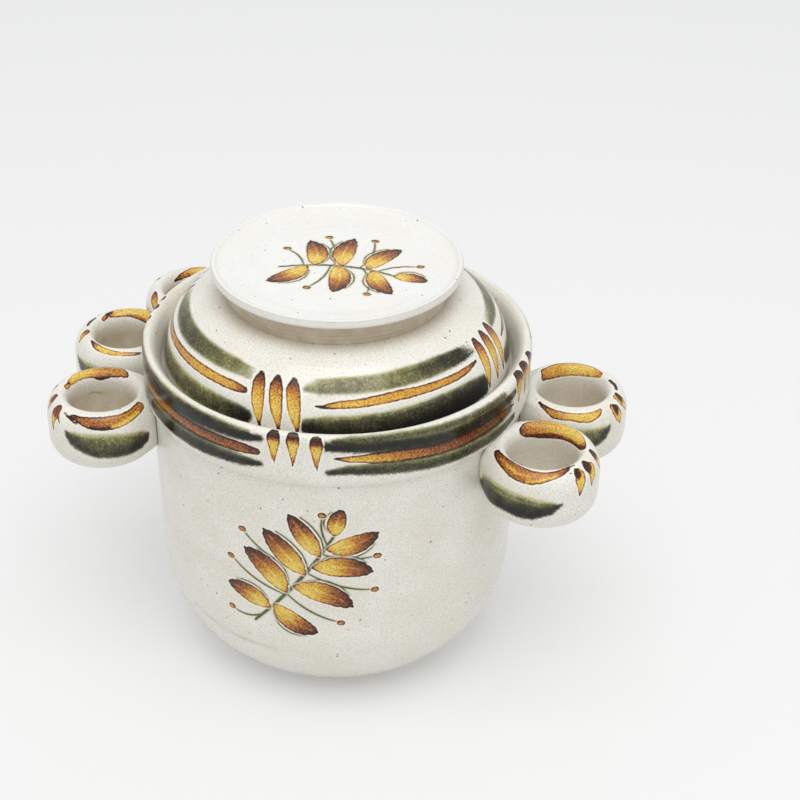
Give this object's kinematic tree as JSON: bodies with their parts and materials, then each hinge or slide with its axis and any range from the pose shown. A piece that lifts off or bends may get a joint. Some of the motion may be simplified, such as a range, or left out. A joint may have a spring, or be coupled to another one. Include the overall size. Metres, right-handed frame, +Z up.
{
  "type": "tobacco jar",
  "caption": "Glazed stoneware tobacco jar with a rounded base, a thick collar, open pipe-holding rings round the wall and a domed lid topped by a wide dish knob.",
  "frame": {"origin": "middle of the flat base, where the jar rests", "axes": "+Z up along the jar's axis, -Y towards the front, +X to the right along the jar's widest way across the rings"},
  "size_m": [0.1825, 0.1225, 0.1359],
  "materials": {
    "jar_glaze": "glossy oatmeal glaze with fine dark specks",
    "lid_glaze": "glossy oatmeal glaze with fine dark specks",
    "dish_glaze": "glossy oatmeal glaze with fine dark specks",
    "ring_glaze": "glossy oatmeal glaze with brushed amber and green marks"
  },
  "bodies": {
    "jar": {"jar_body": "jar_glaze", "pipe_ring_left_front": "ring_glaze", "pipe_ring_left_middle": "ring_glaze", "pipe_ring_left_back": "ring_glaze", "pipe_ring_right_front": "ring_glaze", "pipe_ring_right_back": "ring_glaze"},
    "lid": {"lid_dome": "lid_glaze", "lid_dish": "dish_glaze"}
  },
  "joints": [
    {"name": "lid_lift", "type": "slide", "parent": "jar", "child": "lid", "axis": [0, 0, 1], "range_m": [0, 0.12]}
  ]
}
